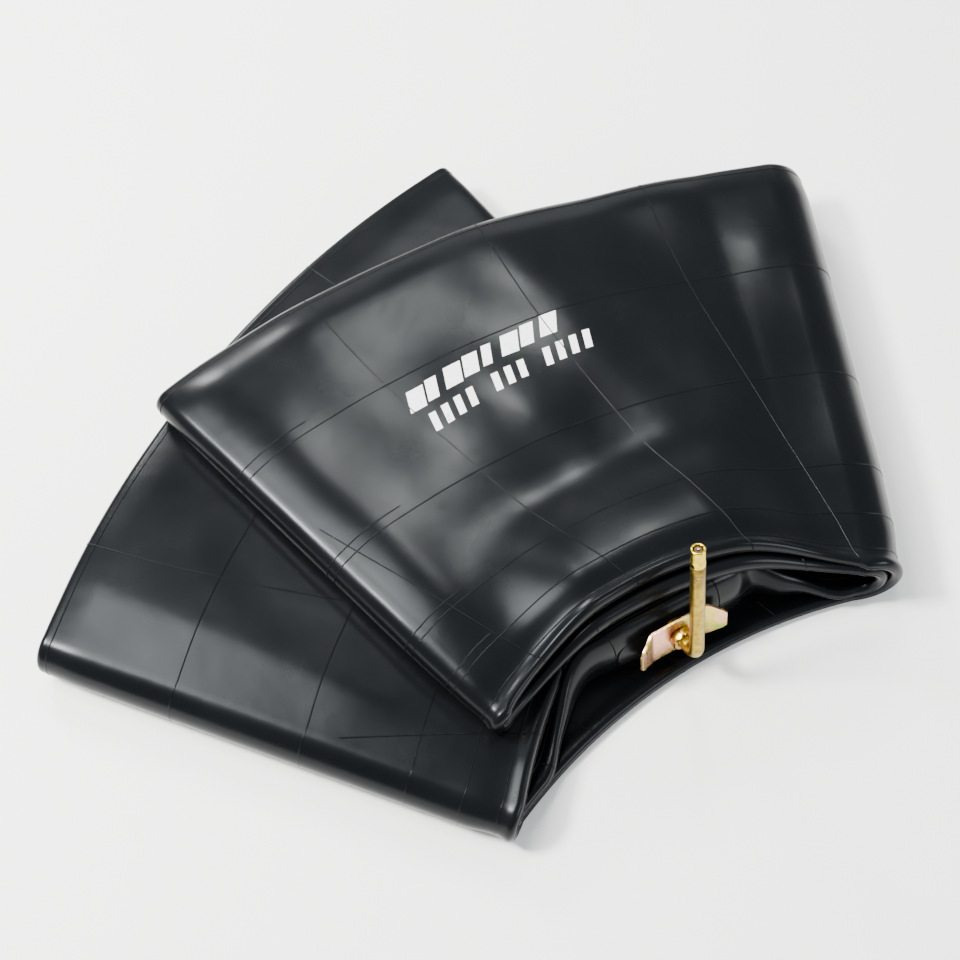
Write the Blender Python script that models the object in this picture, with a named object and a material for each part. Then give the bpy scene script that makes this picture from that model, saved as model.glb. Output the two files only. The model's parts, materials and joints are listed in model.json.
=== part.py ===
"""Truck inner tube for a 20-inch wheel, pressed flat and folded twice, with its bent metal valve."""
import math

import bmesh
import bpy
from mathutils import Matrix, Vector

MM = 0.001

# Flattened tube: a flat ring strip, folded back on itself.
R_INNER = 344.2            # inner radius of the flattened strip
WIDTH = 276.6              # flat width of the strip
WALL_PAIR = 4.6            # two 2.3 mm rubber walls pressed together
BEAD = 8.0                 # thickness of the rolled edge
CLEAR = 0.3                # clearance between neighbouring pieces
PITCH = BEAD + CLEAR       # height step from one folded layer to the next
CENTRE = (308.9, -392.0)   # ring centre of the bottom pair of layers
RIGHT_ANGLES = (102.0, 99.6)     # right fold, at the inner and outer edge
FRONT_ANGLES = (147.9, 153.2)    # front fold
TOP_END_ANGLE = 134.9            # closed end of the top pair, about its own centre
LOW_END_ANGLE = 127.6            # closed end of the middle pair, about its own centre
TUCK = 6.0                 # the inner corners of the top pair reach this much further in

# Layer heights, from the ground up.
Z_BOTTOM = BEAD / 2
Z_VALVE_LAYER = Z_BOTTOM + PITCH
Z_MID_LOW = Z_VALVE_LAYER + PITCH
Z_MID_HIGH = Z_MID_LOW + PITCH
Z_TOP_LOW = Z_MID_HIGH + PITCH
Z_TOP_HIGH = Z_TOP_LOW + PITCH
RIGHT_GAP = 0.6            # the right fold keeps clear of its opening axis by this much

# Valve seat: the stretch of inner wall that stands upright behind the valve.
SEAT = Vector((108.8, -93.7, 27.3))
SEAT_AZIMUTH = -60.0       # the valve base points this way, toward the wheel centre
SEAT_TILT = 10.0           # and this much upward
SEAT_HALF = 20.0           # half height of the upright wall
PATCH_PROUD = 1.8          # the patch stands this far out of the wall
ARCH = 17.0                # the top pair arches this much higher over the valve

# Valve.
STEM_R = 4.05
NECK_R = 3.85
BORE_R = 2.1
CORNER_AT = 18.6           # from the patch face to the corner of the bend
BEND_R = 8.5
STEM_LEAN_BACK = 11.4
STEM_LEAN_LEFT = 5.4
STEM_RISE = 96.8           # from the corner of the bend to the mouth
MOUTH_R = 3.875            # 8V1 valve mouth
MOUTH_LENGTH = 12.0
PLATE = (35.0, 28.0, 1.6)  # flat middle of the bridge washer
FLAP = (12.0, 17.0, 30.0)  # length, end width and bend of each of its ends
NUT_FLATS = 12.7
NUT_THICK = 5.0
PATCH_SIZE = (84.0, 34.0, 3.5)

RUBBER = ((0.018, 0.019, 0.021), 0.0, 0.45)
PATCH_RUBBER = ((0.026, 0.026, 0.028), 0.0, 0.6)
BRASS = ((0.62, 0.45, 0.20), 1.0, 0.35)
BRIGHT = ((0.80, 0.62, 0.28), 1.0, 0.2)
ZINC = ((0.78, 0.68, 0.48), 1.0, 0.3)
STEEL = ((0.60, 0.60, 0.62), 1.0, 0.25)
SEAL = ((0.75, 0.10, 0.06), 0.0, 0.5)
BLACK_SEAL = ((0.03, 0.03, 0.03), 0.0, 0.6)

OUT = Vector((0.0, 0.0, 1.0))    # the valve base points along its own z


def clear_scene():
    for obj in list(bpy.data.objects):
        bpy.data.objects.remove(obj, do_unlink=True)


def material(name, look):
    colour, metal, rough = look
    mat = bpy.data.materials.new(name + "_material")
    mat.use_nodes = True
    shader = mat.node_tree.nodes["Principled BSDF"]
    shader.inputs["Base Color"].default_value = (*colour, 1.0)
    shader.inputs["Metallic"].default_value = metal
    shader.inputs["Roughness"].default_value = rough
    return mat


def axes(name, frame=None, parent=None):
    """Empty that carries a group of pieces. The frame is in millimetres."""
    empty = bpy.data.objects.new(name, None)
    bpy.context.scene.collection.objects.link(empty)
    if frame is not None:
        empty.matrix_basis = Matrix.Translation(frame.translation * MM) @ frame.to_3x3().to_4x4()
    empty.parent = parent
    return empty


def make(name, verts, faces, look, parent):
    """Build one closed node from millimetre points in its parent's axes."""
    bm = bmesh.new()
    made = [bm.verts.new(Vector(point) * MM) for point in verts]
    for face in faces:
        bm.faces.new([made[i] for i in face])
    bmesh.ops.recalc_face_normals(bm, faces=bm.faces)
    mesh = bpy.data.meshes.new(name)
    bm.to_mesh(mesh)
    bm.free()
    mesh.shade_smooth()
    mesh.set_sharp_from_angle(angle=math.radians(40))
    obj = bpy.data.objects.new(name, mesh)
    bpy.context.scene.collection.objects.link(obj)
    obj.parent = parent
    mesh.materials.append(material(name, look))
    return obj


def cut(target, tools):
    """Take each tool's shape out of the target, then remove the tools."""
    for tool in tools:
        step = target.modifiers.new("cut", "BOOLEAN")
        step.operation = "DIFFERENCE"
        step.solver = "EXACT"
        step.object = tool
        bpy.context.view_layer.objects.active = target
        bpy.ops.object.modifier_apply(modifier=step.name)
        bpy.data.objects.remove(tool, do_unlink=True)


def lerp(a, b, t):
    return a + (b - a) * t


def smooth(x, low, high):
    """Rise from 0 at low to 1 at high."""
    t = min(1.0, max(0.0, (x - low) / (high - low)))
    return t * t * (3.0 - 2.0 * t)


def polar(centre, radius, degrees):
    turn = math.radians(degrees)
    return Vector((centre[0] + radius * math.cos(turn), centre[1] + radius * math.sin(turn)))


def mirror(point, line):
    """Reflect a plan point in the line of a fold."""
    along = (line[1] - line[0]).normalized()
    rel = point - line[0]
    return line[0] + 2.0 * along * rel.dot(along) - rel


def outward(line, centre_point):
    """Plan direction square to a fold, pointing away from the folded layers."""
    along = (line[1] - line[0]).normalized()
    side = Vector((along.y, -along.x))
    if side.dot(lerp(line[0], line[1], 0.5) - centre_point) < 0:
        side = -side
    return side


def inset(line, side, distance):
    return (line[0] - side * distance, line[1] - side * distance)


def fold_line(centre, radius, angles):
    return (polar(centre, radius, angles[0]), polar(centre, R_INNER + WIDTH, angles[1]))


class Layout:
    """Plan geometry of the three pairs of layers and their folds."""

    def __init__(self):
        self.low = Vector(CENTRE)
        right = fold_line(self.low, R_INNER - TUCK, RIGHT_ANGLES)
        front = fold_line(self.low, R_INNER, FRONT_ANGLES)
        self.top = mirror(self.low, right)
        self.mid = mirror(self.low, front)
        top_end = fold_line(self.top, R_INNER - TUCK, (TOP_END_ANGLE, TOP_END_ANGLE))
        low_end = fold_line(self.mid, R_INNER, (LOW_END_ANGLE, LOW_END_ANGLE))
        heart = Vector((50.0, 20.0))
        self.right_side = outward(right, heart)
        self.front_side = outward(front, heart)
        self.top_end_side = outward(top_end, heart)
        self.low_end_side = outward(low_end, Vector((-60.0, 0.0)))
        self.right_axis = right
        big = (Z_TOP_HIGH - Z_BOTTOM) / 2 + BEAD / 2 + RIGHT_GAP
        mid = (Z_MID_HIGH - Z_BOTTOM) / 2 + BEAD / 2
        small = PITCH / 2 + BEAD / 2
        self.right = inset(right, self.right_side, big)
        self.front = inset(front, self.front_side, mid)
        self.top_end = inset(top_end, self.top_end_side, small)
        self.low_end = inset(low_end, self.low_end_side, small)


EDGE = (0.0, 0.6, 2.0, 4.5, 8.5, 15.0, 23.0, 32.0, 43.0, 80.0)


def edge_half(w):
    """Half thickness of the rolled edge, w in from its rim."""
    bead = BEAD / 2
    if w < bead:
        return math.sqrt(bead * bead - (bead - w) ** 2)
    return lerp(bead, WALL_PAIR / 2, smooth(w, 5.0, 24.0))


def seat_half(w):
    """Half height of the upright wall behind the valve, w in from its face."""
    if w < 4.0:
        return SEAT_HALF * math.sqrt(1.0 - (1.0 - w / 4.0) ** 2)
    return lerp(SEAT_HALF, WALL_PAIR / 2, smooth(w, 6.0, 43.0))


def stations():
    """Distance across the strip and half thickness, from the inner to the outer edge."""
    near = [(w, edge_half(w)) for w in EDGE]
    far = [(WIDTH - w, half) for w, half in reversed(near)]
    return near + [(WIDTH / 2, WALL_PAIR / 2)] + far


ACROSS = stations()


def plan_point(centre, start, end, u, w):
    """Point of a layer at fraction u from one fold to the next, w in from the inner edge."""
    v = w / WIDTH
    a = lerp(start[0], start[1], v) - centre
    b = lerp(end[0], end[1], v) - centre
    turn = lerp(math.atan2(a.y, a.x), math.atan2(b.y, b.x), u)
    radius = lerp(a.length, b.length, u)
    return turn, radius


def seat_shape(turn):
    """How far a direction from the ring centre belongs to the upright valve wall."""
    offset = math.degrees(turn) - 123.85
    reach = 13.0 if offset > 0 else 16.5
    return 1.0 - smooth(abs(offset), 7.2, reach + 1.0), 1.0 - smooth(abs(offset), 4.0, reach)


def arch(point):
    """Height added to the top pair where it passes over the valve wall."""
    azimuth = math.radians(SEAT_AZIMUTH)
    out = Vector((-math.cos(azimuth), -math.sin(azimuth)))
    along = Vector((-out.y, out.x))
    rel = point - SEAT.xy
    return (1.0 - smooth(abs(rel.dot(along)), 42.0, 100.0)) * (1.0 - smooth(rel.dot(out), 25.0, 105.0))


def flat_row(centre, start, end, u, z, flip, rise=0.0, pull=0.0, sit=0.0):
    """One cross row of a flat layer: point, thickness direction and half thickness."""
    row = []
    for w, half in ACROSS:
        turn, radius = plan_point(centre, start, end, u, w)
        radius += pull * math.sin(math.pi * u) ** 0.7 * (1.0 - w / WIDTH) ** 6
        point = centre + Vector((math.cos(turn), math.sin(turn))) * radius
        height = z + rise * arch(point) - sit * (BEAD / 2 - max(half, WALL_PAIR / 2))
        row.append((Vector((*point, height)), Vector((0, 0, flip)), half))
    return row


def seat_row(layout, u):
    """One cross row of the layer that carries the valve."""
    row = []
    azimuth = math.radians(SEAT_AZIMUTH)
    inward = Vector((math.cos(azimuth), math.sin(azimuth)))
    for k, (w, half) in enumerate(ACROSS):
        turn, radius = plan_point(layout.low, layout.front, layout.right, u, w)
        flat, tall = seat_shape(turn)
        face = (layout.low - SEAT.xy).dot(inward) + PATCH_PROUD * math.cos(math.radians(SEAT_TILT))
        wall = face / math.cos(turn - azimuth - math.pi)
        near = (1.0 - w / WIDTH) ** 4
        radius = lerp(radius, radius + wall - R_INNER, flat * near)
        centre_rise = 0.0
        if k < len(EDGE):
            centre_rise = max(seat_half(max(w, 4.0)) - BEAD / 2, 0.0) * tall
            half = lerp(half, seat_half(w), tall)
        point = layout.low + Vector((math.cos(turn), math.sin(turn))) * radius
        tilt = math.radians(SEAT_TILT) * tall * (1.0 - smooth(w, 5.0, 25.0))
        away = Vector((math.cos(turn), math.sin(turn)))
        up = Vector((*(away * math.sin(tilt)), math.cos(tilt)))
        row.append((Vector((*point, Z_VALVE_LAYER + centre_rise)), up, half))
    return row


def bend_row(line, side, z, radius, turn, facing):
    """One cross row of a fold, at the given turn in degrees round the fold's centre height."""
    row = []
    across = Vector((*side, 0.0))
    angle = math.radians(turn)
    ray = across * math.cos(angle) + Vector((0, 0, 1)) * math.sin(angle)
    for w, half in ACROSS:
        base = lerp(line[0], line[1], w / WIDTH)
        row.append((Vector((*base, z)) + ray * radius, ray * facing, half))
    return row


def bend_rows(line, side, z_from, z_to, facing, start=-90.0, stop=90.0, steps=8):
    """Rows strictly between two layers, or up to the cut end where start or stop is 0."""
    z = (z_from + z_to) / 2
    radius = abs(z_to - z_from) / 2
    gap = math.degrees(math.asin(CLEAR / 2 / radius))
    rows = []
    for i in range(steps + 1):
        turn = lerp(start, stop, i / steps)
        if abs(abs(turn) - 90.0) < 1e-6:
            continue
        if abs(turn) < 1e-6 and 0.0 in (start, stop):
            turn = gap if start + stop > 0 else -gap
        rows.append(bend_row(line, side, z, radius, turn, facing))
    return rows


def strip(name, rows, look, parent):
    """Skin a closed solid over the cross rows, with a cap at each end."""
    verts = []
    faces = []
    count = len(ACROSS)
    ring = 2 * count - 2
    back = parent.matrix_basis.inverted()
    for row in rows:
        for point, up, half in row:
            verts.append(back @ ((point + up * half) * MM) / MM)
        for point, up, half in reversed(row[1:-1]):
            verts.append(back @ ((point - up * half) * MM) / MM)
    for r in range(len(rows) - 1):
        for k in range(ring):
            a = r * ring + k
            b = r * ring + (k + 1) % ring
            faces.append((a, b, b + ring, a + ring))
    for first in (0, (len(rows) - 1) * ring):
        for k in range(count - 1):
            low = first + (ring - k) % ring
            next_low = first + (ring - k - 1) % ring
            face = [first + k, first + k + 1, next_low, low]
            faces.append(tuple(dict.fromkeys(face)))
    return make(name, verts, faces, look, parent)


def fold_frame(layout):
    """Axis that the top pair opens about: x runs along the right fold."""
    start, end = layout.right_axis
    x = Vector((*(end - start), 0.0)).normalized()
    z = Vector((0, 0, 1))
    frame = Matrix((x, z.cross(x), z)).transposed().to_4x4()
    frame.translation = (*start, (Z_TOP_HIGH + Z_BOTTOM) / 2)
    return frame


def top_fold(layout, parent):
    """Top pair of layers with their closed end, cut at the right fold."""
    rows = []
    rows += bend_rows(layout.right, layout.right_side, Z_BOTTOM, Z_TOP_HIGH, 1, 0.0, 90.0, 5)
    for i in range(23):
        rows.append(flat_row(layout.top, layout.right, layout.top_end, i / 22,
                             Z_TOP_HIGH, 1, ARCH + 2.0, 18.0))
    rows += bend_rows(layout.top_end, layout.top_end_side, Z_TOP_LOW, Z_TOP_HIGH, 1, 90.0, -90.0)
    for i in range(23):
        rows.append(flat_row(layout.top, layout.right, layout.top_end, 1 - i / 22,
                             Z_TOP_LOW, -1, ARCH, 10.0))
    rows += bend_rows(layout.right, layout.right_side, Z_VALVE_LAYER, Z_TOP_LOW, -1, 90.0, 0.0, 5)
    return strip("tube_top_fold", rows, RUBBER, parent)


def lower_folds(layout, parent):
    """Bottom pair with the valve wall and middle pair, joined round the front fold."""
    rows = []
    rows += bend_rows(layout.right, layout.right_side, Z_BOTTOM, Z_TOP_HIGH, 1, 0.0, -90.0, 5)
    for i in range(17):
        rows.append(flat_row(layout.low, layout.right, layout.front, i / 16,
                             Z_BOTTOM, -1, sit=1.0))
    rows += bend_rows(layout.front, layout.front_side, Z_BOTTOM, Z_MID_HIGH, 1)
    for i in range(13):
        rows.append(flat_row(layout.mid, layout.front, layout.low_end, i / 12, Z_MID_HIGH, 1))
    rows += bend_rows(layout.low_end, layout.low_end_side, Z_MID_LOW, Z_MID_HIGH, 1, 90.0, -90.0)
    for i in range(13):
        rows.append(flat_row(layout.mid, layout.front, layout.low_end, 1 - i / 12,
                             Z_MID_LOW, -1))
    rows += bend_rows(layout.front, layout.front_side, Z_VALVE_LAYER, Z_MID_LOW, -1, 90.0, -90.0)
    for i in range(29):
        rows.append(seat_row(layout, i / 28))
    rows += bend_rows(layout.right, layout.right_side, Z_VALVE_LAYER, Z_TOP_LOW, -1, -90.0, 0.0, 5)
    return strip("tube_lower_folds", rows, RUBBER, parent)


def seat_frame():
    """Axes of the valve base: x along the wall, y up the wall, z out toward the wheel centre."""
    azimuth = math.radians(SEAT_AZIMUTH)
    tilt = math.radians(SEAT_TILT)
    flat = Vector((math.cos(azimuth), math.sin(azimuth), 0.0))
    z = flat * math.cos(tilt) + Vector((0, 0, 1)) * math.sin(tilt)
    x = Vector((0, 0, 1)).cross(flat)
    y = z.cross(x)
    frame = Matrix((x, y, z)).transposed().to_4x4()
    frame.translation = SEAT
    return frame


def upright():
    """Direction of the long part of the stem, in the base's axes."""
    back = math.tan(math.radians(STEM_LEAN_BACK))
    left = math.tan(math.radians(STEM_LEAN_LEFT))
    return seat_frame().to_3x3().inverted() @ Vector((-left, back, 1.0)).normalized()


def mouth_frame():
    """Axes of the valve mouth in the base's axes: z out of the mouth, origin at its rim."""
    up = upright()
    x = OUT.cross(up).normalized()
    frame = Matrix((x, up.cross(x), up)).transposed().to_4x4()
    frame.translation = OUT * CORNER_AT + up * STEM_RISE
    return frame


def turned(name, profile, look, parent, sides=24, shape=None):
    """Solid of revolution about z from a closed profile of radius and height.

    A radius of zero at both ends of the profile makes a solid bar, otherwise a ring.
    """
    bar = profile[0][0] == 0.0
    verts = []
    faces = []
    body = profile[1:-1] if bar else profile
    for k in range(sides):
        turn = 2 * math.pi * k / sides
        for radius, height in body:
            r = shape(radius, turn) if shape else radius
            verts.append((r * math.cos(turn), r * math.sin(turn), height))
    n = len(body)
    last = n - 1 if bar else n
    for k in range(sides):
        a = k * n
        b = ((k + 1) % sides) * n
        for i in range(last):
            j = (i + 1) % n
            faces.append((a + i, b + i, b + j, a + j))
    if bar:
        verts += [(0, 0, profile[0][1]), (0, 0, profile[-1][1])]
        low, high = len(verts) - 2, len(verts) - 1
        for k in range(sides):
            a = k * n
            b = ((k + 1) % sides) * n
            faces.append((low, b, a))
            faces.append((high, a + n - 1, b + n - 1))
    return make(name, verts, faces, look, parent)


def tube_solid(name, path, look, parent, sides=24):
    """Hollow rod along a path of (point, direction, outer radius, bore radius)."""
    side = path[0][1].cross(path[-1][1]).normalized()
    verts = []
    faces = []
    for point, ahead, outer, bore in path:
        other = ahead.cross(side)
        for radius in (outer, bore):
            for k in range(sides):
                turn = 2 * math.pi * k / sides
                verts.append(point + (side * math.cos(turn) + other * math.sin(turn)) * radius)
    step = 2 * sides
    for i in range(len(path) - 1):
        for part in (0, sides):
            for k in range(sides):
                a = i * step + part + k
                b = i * step + part + (k + 1) % sides
                faces.append((a, b, b + step, a + step))
    for first in (0, (len(path) - 1) * step):
        for k in range(sides):
            a = first + k
            b = first + (k + 1) % sides
            faces.append((a, b, b + sides, a + sides))
    return make(name, verts, faces, look, parent)


def stem(parent):
    """Bent stem: threaded neck, tight bend, long upright with a socket for the mouth."""
    up = upright()
    corner = OUT * CORNER_AT
    swing = OUT.angle(up)
    side = OUT.cross(up).normalized()
    begin = corner - OUT * BEND_R * math.tan(swing / 2)
    pivot = begin + side.cross(OUT).normalized() * BEND_R
    top = corner + up * (STEM_RISE - MOUTH_LENGTH - CLEAR)
    path = []
    for height, outer in ((-3.5, NECK_R), (9.0, NECK_R), (9.4, STEM_R)):
        path.append((OUT * height, OUT, outer, BORE_R))
    for i in range(11):
        turn = Matrix.Rotation(swing * i / 10, 3, side)
        path.append((pivot + turn @ (begin - pivot), turn @ OUT, STEM_R, BORE_R))
    path.append((top - up * 9.0, up, STEM_R, BORE_R))
    path.append((top - up * 9.0, up, STEM_R, 3.3))
    path.append((top, up, STEM_R, 3.3))
    return tube_solid("valve_stem", path, BRASS, parent)


def slab(name, outline, low, high, look, parent):
    """Prism over a convex outline."""
    n = len(outline)
    verts = [(x, y, low) for x, y in outline] + [(x, y, high) for x, y in outline]
    faces = [tuple(range(n)), tuple(range(n, 2 * n))]
    faces += [(i, (i + 1) % n, (i + 1) % n + n, i + n) for i in range(n)]
    return make(name, verts, faces, look, parent)


def rounded_box(length, width, corner, steps=6):
    outline = []
    for quarter in range(4):
        sx = (1, -1, -1, 1)[quarter]
        sy = (1, 1, -1, -1)[quarter]
        for i in range(steps + 1):
            turn = math.pi / 2 * (quarter + i / steps)
            outline.append((sx * (length / 2 - corner) + corner * math.cos(turn),
                            sy * (width / 2 - corner) + corner * math.sin(turn)))
    return outline


def rod(radius, low, high, parent, sides=24):
    return turned("tool", [(0.0, low), (radius, low), (radius, high), (0.0, high)], BRASS, parent, sides)


def seat_cavity(parent):
    """Air space behind the valve hole."""
    verts = []
    faces = []
    rings, sides = 7, 16
    for i in range(1, rings):
        tip = math.pi * i / rings
        for k in range(sides):
            turn = 2 * math.pi * k / sides
            verts.append((38.0 * math.cos(tip), 9.5 * math.sin(tip) * math.sin(turn),
                          -16.0 + 8.5 * math.sin(tip) * math.cos(turn)))
    for i in range(rings - 2):
        for k in range(sides):
            a = i * sides + k
            b = i * sides + (k + 1) % sides
            faces.append((a, b, b + sides, a + sides))
    faces.append(tuple(range(sides)))
    faces.append(tuple(range((rings - 2) * sides, (rings - 1) * sides)))
    return make("tool", verts, faces, BRASS, parent)


def valve_base(tube, parent):
    """Rubber patch let into the wall, with the stem's metal foot behind it."""
    length, width, thick = PATCH_SIZE
    grow = 2 * CLEAR
    recess = slab("tool", rounded_box(length + grow, width + grow, 15.0), -thick - CLEAR, 14.0, BRASS, parent)
    hole = rod(3.2, -14.0, -2.0, parent)
    cut(tube, [recess, seat_cavity(parent), hole])
    patch = slab("valve_base_patch", rounded_box(length, width, 15.0), -thick, 0.0, PATCH_RUBBER, parent)
    cut(patch, [rod(11.3, -thick - 1.0, -1.8, parent), rod(6.3, -thick - 1.0, 1.0, parent)])
    foot = [(NECK_R + CLEAR, -thick), (11.0, -thick), (11.0, -2.1), (6.0, -2.1),
            (6.0, -0.1), (NECK_R + CLEAR, -0.1)]
    turned("base_insert", foot, BRASS, parent)


def bridge_washer(parent):
    """Plate across the valve base with both ends bent toward the wheel centre."""
    length, width, thick = PLATE
    flap, end_width, bend = FLAP
    turn = math.radians(bend)
    half = length / 2
    line = [(0.0, 0.0, 0.0, width / 2), (half - 1.0, 0.0, 0.0, width / 2),
            (half + 0.8, 0.45, turn / 2, width / 2 - 0.2),
            (half + flap * 0.55 * math.cos(turn), flap * 0.5 * math.sin(turn), turn, width / 2 - 3.2),
            (half + flap * math.cos(turn), flap * math.sin(turn), turn, end_width / 2)]
    row = [(-x, z, -a, w) for x, z, a, w in reversed(line[1:])] + line
    verts = []
    faces = []
    for x, z, lean, w in row:
        shift = Vector((-math.sin(lean), 0.0, math.cos(lean))) * thick / 2
        middle = Vector((x, 0.0, z + CLEAR + thick / 2))
        for sign_y, sign_n in ((-1, -1), (1, -1), (1, 1), (-1, 1)):
            verts.append(middle + shift * sign_n + Vector((0.0, w * sign_y, 0.0)))
    for i in range(len(row) - 1):
        for k in range(4):
            a = 4 * i + k
            b = 4 * i + (k + 1) % 4
            faces.append((a, b, b + 4, a + 4))
    faces.append((0, 1, 2, 3))
    end = 4 * (len(row) - 1)
    faces.append((end, end + 1, end + 2, end + 3))
    plate = make("bridge_washer", verts, faces, ZINC, parent)
    cut(plate, [rod(NECK_R + CLEAR, -1.0, 4.0, parent)])


def hexagon(flats):
    def shape(radius, turn):
        part = (turn + math.pi / 6) % (math.pi / 3) - math.pi / 6
        return min(radius, flats / 2 / math.cos(part))
    return shape


def hex_nut(parent):
    low = CLEAR * 2 + PLATE[2]
    high = low + NUT_THICK
    bore = NECK_R + CLEAR
    corner = NUT_FLATS / 2 / math.cos(math.pi / 6)
    edge = NUT_FLATS / 2
    flat = hexagon(NUT_FLATS)
    profile = [(bore, low), (edge, low), (corner, low + 0.6), (corner, high - 0.6), (edge, high), (bore, high)]

    def shape(radius, turn):
        return radius if radius < edge - 0.01 else flat(radius, turn)
    turned("hex_nut", profile, BRIGHT, parent, 24, shape)


def mouth(parent):
    """Bright valve mouth with the socket for the valve core."""
    bottom = -MOUTH_LENGTH
    profile = [(2.75, -0.3), (3.1, 0.0), (MOUTH_R - 0.35, 0.0), (MOUTH_R, -0.5), (MOUTH_R, bottom),
               (3.0, bottom), (3.0, bottom - 8.0), (2.0, bottom - 8.0), (2.0, -9.6), (2.75, -7.6)]
    turned("valve_mouth", profile, BRIGHT, parent)


def core(parent):
    """Valve core: threaded head, barrel, seal, pin, spring, cup and gasket."""
    head = [(1.1, -6.4), (2.35, -6.4), (2.35, -1.2), (2.0, -0.9), (1.1, -0.9)]
    turned("core_plug", head, BRIGHT, parent, 20)
    barrel = [(0.75, -16.0), (1.55, -16.0), (1.55, -10.6), (1.9, -8.6), (1.9, -6.7), (1.6, -6.7),
              (1.6, -10.2), (1.25, -10.9), (1.25, -15.0), (0.75, -15.0)]
    turned("core_barrel", barrel, BRASS, parent, 20)
    seal = [(2.2, -8.4), (2.45, -8.0), (2.45, -7.0), (2.2, -7.0)]
    turned("barrel_seal", seal, SEAL, parent, 20)
    pin = [(0.0, -19.2), (0.4, -19.2), (0.4, -10.8), (1.05, -10.7), (1.05, -10.2), (0.4, -10.1),
           (0.4, -1.1), (0.75, -0.9), (0.75, -0.25), (0.5, 0.0), (0.0, 0.0)]
    turned("core_pin", pin, STEEL, parent, 16)
    cup = [(0.7, -17.9), (0.7, -18.9), (1.6, -18.9), (1.6, -16.9), (1.45, -16.9), (1.45, -17.9)]
    turned("pin_cup", cup, BRASS, parent, 20)
    gasket = [(0.7, -17.6), (1.15, -17.6), (1.15, -16.3), (0.7, -16.3)]
    turned("cup_gasket", gasket, BLACK_SEAL, parent, 20)


def spring(parent):
    """Coil round the pin, between the barrel floor and the head."""
    verts = []
    faces = []
    turns, steps, sides = 4, 14, 6
    count = turns * steps
    for i in range(count + 1):
        angle = 2 * math.pi * i / steps
        ahead = Vector((-math.sin(angle), math.cos(angle), 0.10)).normalized()
        radial = Vector((math.cos(angle), math.sin(angle), 0.0))
        up = ahead.cross(radial)
        centre = radial * 0.95 + Vector((0, 0, lerp(-14.7, -11.0, i / count)))
        for k in range(sides):
            turn = 2 * math.pi * k / sides
            verts.append(centre + (radial * math.cos(turn) + up * math.sin(turn)) * 0.13)
    for i in range(count):
        for k in range(sides):
            a = i * sides + k
            b = i * sides + (k + 1) % sides
            faces.append((a, b, b + sides, a + sides))
    faces.append(tuple(range(sides)))
    faces.append(tuple(range(count * sides, (count + 1) * sides)))
    make("core_spring", verts, faces, STEEL, parent)


def centre_on_ground(root):
    """Move everything so the bounding box is centred over the origin and stands on z = 0."""
    bpy.context.view_layer.update()
    points = []
    for obj in bpy.data.objects:
        if obj.type == "MESH":
            points += [obj.matrix_world @ vert.co for vert in obj.data.vertices]
    low = Vector([min(point[i] for point in points) for i in range(3)])
    high = Vector([max(point[i] for point in points) for i in range(3)])
    root.location = (-(low.x + high.x) / 2, -(low.y + high.y) / 2, -low.z)
    bpy.context.view_layer.update()


def main():
    clear_scene()
    layout = Layout()
    root = axes("inner_tube")
    fold = axes("right_fold_axis", fold_frame(layout), root)
    base = axes("valve_base_axes", seat_frame(), root)
    tip = axes("valve_mouth_axes", mouth_frame(), base)
    top_fold(layout, fold)
    tube = lower_folds(layout, root)
    bpy.context.view_layer.update()
    valve_base(tube, base)
    bridge_washer(base)
    hex_nut(base)
    stem(base)
    mouth(tip)
    core(tip)
    spring(tip)
    centre_on_ground(root)


main()
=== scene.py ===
"""Looks of the folded inner tube: one skin of rubber over the folds, mould lines, print and valve."""
import json
import math

import bmesh
import bpy
import numpy as np
from mathutils import Matrix, Vector


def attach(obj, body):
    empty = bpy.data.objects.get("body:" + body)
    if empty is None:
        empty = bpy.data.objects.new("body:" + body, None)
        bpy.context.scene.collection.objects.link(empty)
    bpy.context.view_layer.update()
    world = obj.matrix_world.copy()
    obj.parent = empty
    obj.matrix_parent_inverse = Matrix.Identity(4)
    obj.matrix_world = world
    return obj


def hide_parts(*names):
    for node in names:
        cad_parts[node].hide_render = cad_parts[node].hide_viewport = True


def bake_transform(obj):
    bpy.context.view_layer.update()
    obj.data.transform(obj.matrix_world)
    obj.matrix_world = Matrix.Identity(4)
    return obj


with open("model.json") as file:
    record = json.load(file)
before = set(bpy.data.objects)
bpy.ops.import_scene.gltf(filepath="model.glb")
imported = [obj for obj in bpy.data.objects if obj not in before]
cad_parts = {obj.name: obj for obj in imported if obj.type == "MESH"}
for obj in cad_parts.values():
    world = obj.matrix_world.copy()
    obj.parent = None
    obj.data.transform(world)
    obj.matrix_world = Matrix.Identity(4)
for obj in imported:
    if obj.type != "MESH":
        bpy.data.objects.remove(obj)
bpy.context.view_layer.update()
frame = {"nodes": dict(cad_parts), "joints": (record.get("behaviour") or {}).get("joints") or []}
MM = 0.001

# Flattened strip and its folds, in millimetres and degrees.
R_INNER = 344.2
WIDTH = 276.6
BEAD = 4.0  # half thickness of a rolled edge
BODY = 2.3  # half thickness of two pressed walls
PITCH = 8.3  # from one layer's middle to the next
CENTRE = Vector((308.9, -392.0))
RIGHT_ANGLES = (102.0, 99.6)  # from the centre, at the inner and the outer edge
FRONT_ANGLES = (147.9, 153.2)
TOP_END_ANGLE = 134.9
LOW_END_ANGLE = 127.6
TUCK = 6.0  # inner edge's step inward at the right fold and the top end
STACK_HEART = Vector((50.0, 20.0))  # tells a fold's outer side
MID_HEART = Vector((-60.0, 0.0))  # and the middle pair's
Z_BOTTOM = BEAD
Z_VALVE = Z_BOTTOM + PITCH
Z_MID_LOW = Z_VALVE + PITCH
Z_MID_HIGH = Z_MID_LOW + PITCH
Z_TOP_LOW = Z_MID_HIGH + PITCH
Z_TOP_HIGH = Z_TOP_LOW + PITCH
RIGHT_GAP = 0.6
TOP_END_ROOM = 2.5  # more room round the top pair's closed end

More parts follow.
